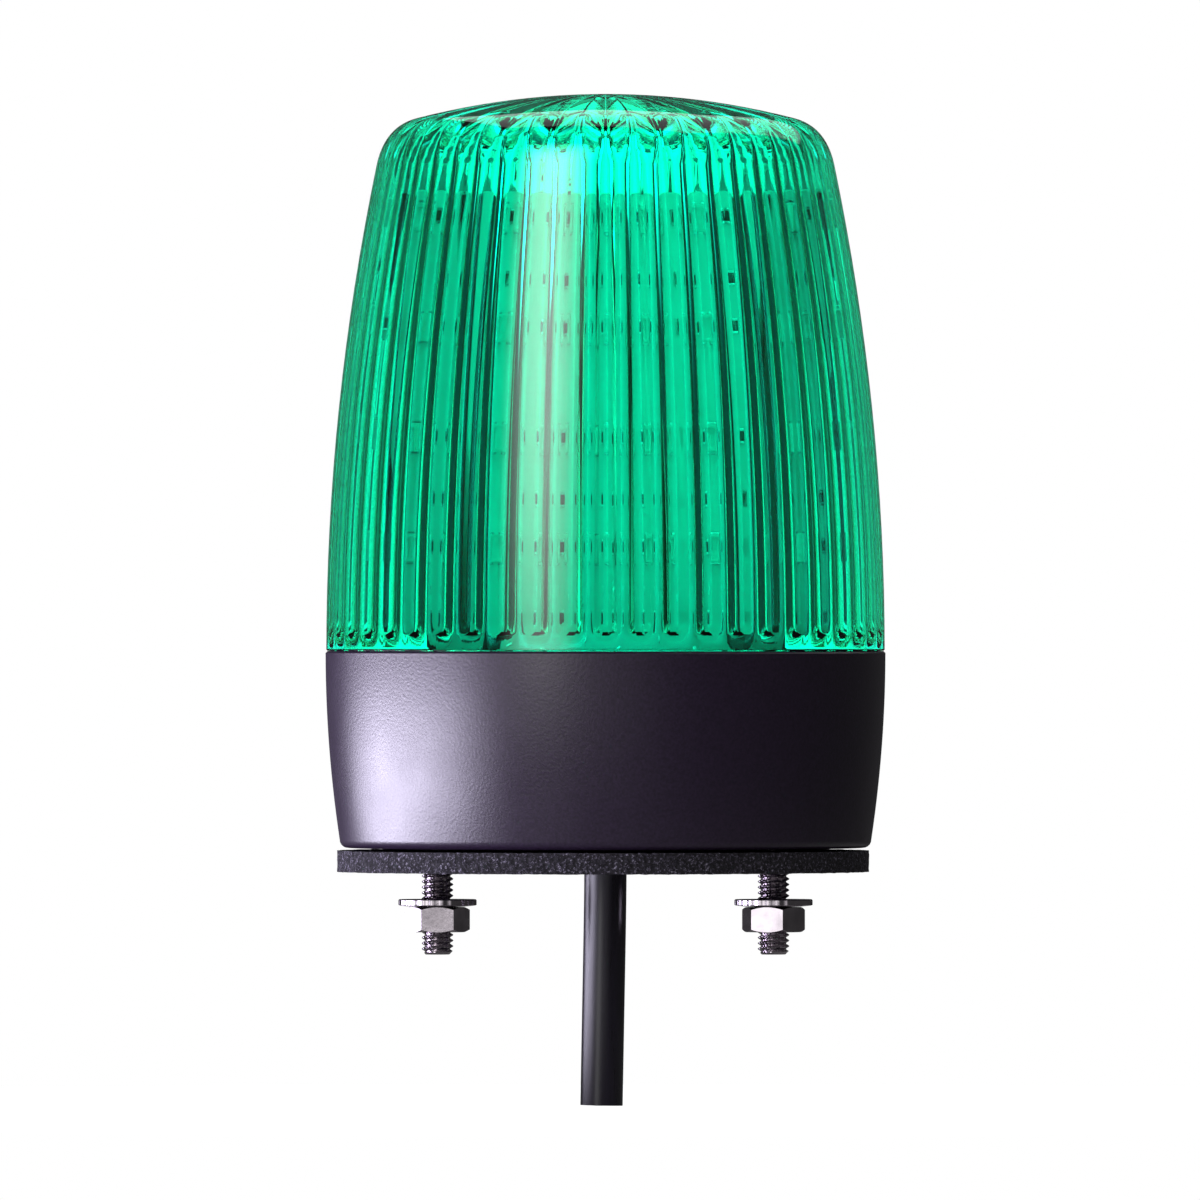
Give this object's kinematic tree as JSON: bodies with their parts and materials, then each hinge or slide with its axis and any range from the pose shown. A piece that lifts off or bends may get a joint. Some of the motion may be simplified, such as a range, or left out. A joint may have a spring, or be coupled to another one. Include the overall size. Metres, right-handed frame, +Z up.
{
  "type": "panel-mounted LED signal beacon",
  "caption": "Signal beacon with a ribbed green lens that unscrews from a black base, LED tower inside, foam gasket, threaded studs with nuts and a bottom cable.",
  "frame": {"origin": "centre of the mounting plane, which is the underside of the foam gasket and the top of the panel that the beacon is bolted to", "axes": "+Z up through the lens, the two studs on the X axis, the viewer in front on -Y"},
  "size_m": [0.07, 0.07, 0.1264],
  "materials": {
    "black_plastic": "fine moulded grain, satin",
    "carrier_plastic": "smooth moulded, satin",
    "green_lens": "clear green polycarbonate, gloss outside, ribbed inside",
    "black_rubber": "matte",
    "foam_rubber": "cellular, matte",
    "plated_steel": "bright nickel plate",
    "cable_sheath": "satin PVC",
    "white_nylon": "satin",
    "lead_brown": "satin PVC",
    "lead_blue": "satin PVC",
    "green_board": "solder mask",
    "white_board": "white solder mask",
    "terminal_green": "satin",
    "aluminium_can": "drawn, satin",
    "ferrite": "sintered, matte",
    "black_chip": "moulded epoxy",
    "brass": "turned"
  },
  "bodies": {
    "body": {"base_housing": "black_plastic", "mounting_gasket": "foam_rubber", "stud_left": "plated_steel", "stud_right": "plated_steel", "cable": "cable_sheath", "cable_grommet": "black_rubber", "cable_tie": "white_nylon", "lead_brown": "lead_brown", "lead_blue": "lead_blue", "driver_board": "green_board", "standoff_1": "brass", "standoff_2": "brass", "standoff_3": "brass", "carrier_screw_1": "plated_steel", "carrier_screw_2": "plated_steel", "carrier_screw_3": "plated_steel", "terminal_block": "terminal_green", "terminal_screw_1": "plated_steel", "terminal_screw_2": "plated_steel", "filter_capacitor": "aluminium_can", "choke": "ferrite", "controller_chip": "black_chip", "tower_connector": "black_chip", "tower_carrier": "carrier_plastic", "tower_cap": "carrier_plastic", "led_board_wide_1": "white_board", "led_board_wide_2": "white_board", "led_board_wide_3": "white_board", "led_board_narrow_1": "white_board", "led_board_narrow_2": "white_board", "led_board_narrow_3": "white_board"},
    "lens_ring": {"lens_seal": "black_rubber"},
    "lens": {"lens_dome": "green_lens"},
    "left_washer": {"washer_left": "plated_steel"},
    "left_nut": {"nut_left": "plated_steel"},
    "right_washer": {"washer_right": "plated_steel"},
    "right_nut": {"nut_right": "plated_steel"}
  },
  "joints": [
    {"name": "lens_lift", "type": "slide", "parent": "body", "child": "lens_ring", "axis": [0, 0, 1], "range_m": [0, 0.0751]},
    {"name": "lens_turn", "type": "hinge", "parent": "lens_ring", "child": "lens", "pos_m": [0, 0, 0.02775], "axis": [0, 0, 1], "range_deg": [0, 1500]},
    {"name": "nut_left_travel", "type": "slide", "parent": "body", "child": "left_washer", "axis": [0, 0, -1], "range_m": [-0.00297, 0.00525]},
    {"name": "nut_left_turn", "type": "hinge", "parent": "left_washer", "child": "left_nut", "pos_m": [-0.021, 0, -0.006], "axis": [0, 0, -1], "range_deg": [-1530, 2702]},
    {"name": "nut_right_travel", "type": "slide", "parent": "body", "child": "right_washer", "axis": [0, 0, -1], "range_m": [-0.00297, 0.00525]},
    {"name": "nut_right_turn", "type": "hinge", "parent": "right_washer", "child": "right_nut", "pos_m": [0.021, 0, -0.006], "axis": [0, 0, -1], "range_deg": [-1530, 2702]}
  ],
  "couplings": [
    {"joint": "lens_lift", "follows": "lens_turn", "m_per_rad": 0.0028648},
    {"joint": "nut_left_turn", "follows": "nut_left_travel", "rad_per_m": 8976},
    {"joint": "nut_right_turn", "follows": "nut_right_travel", "rad_per_m": 8976}
  ]
}
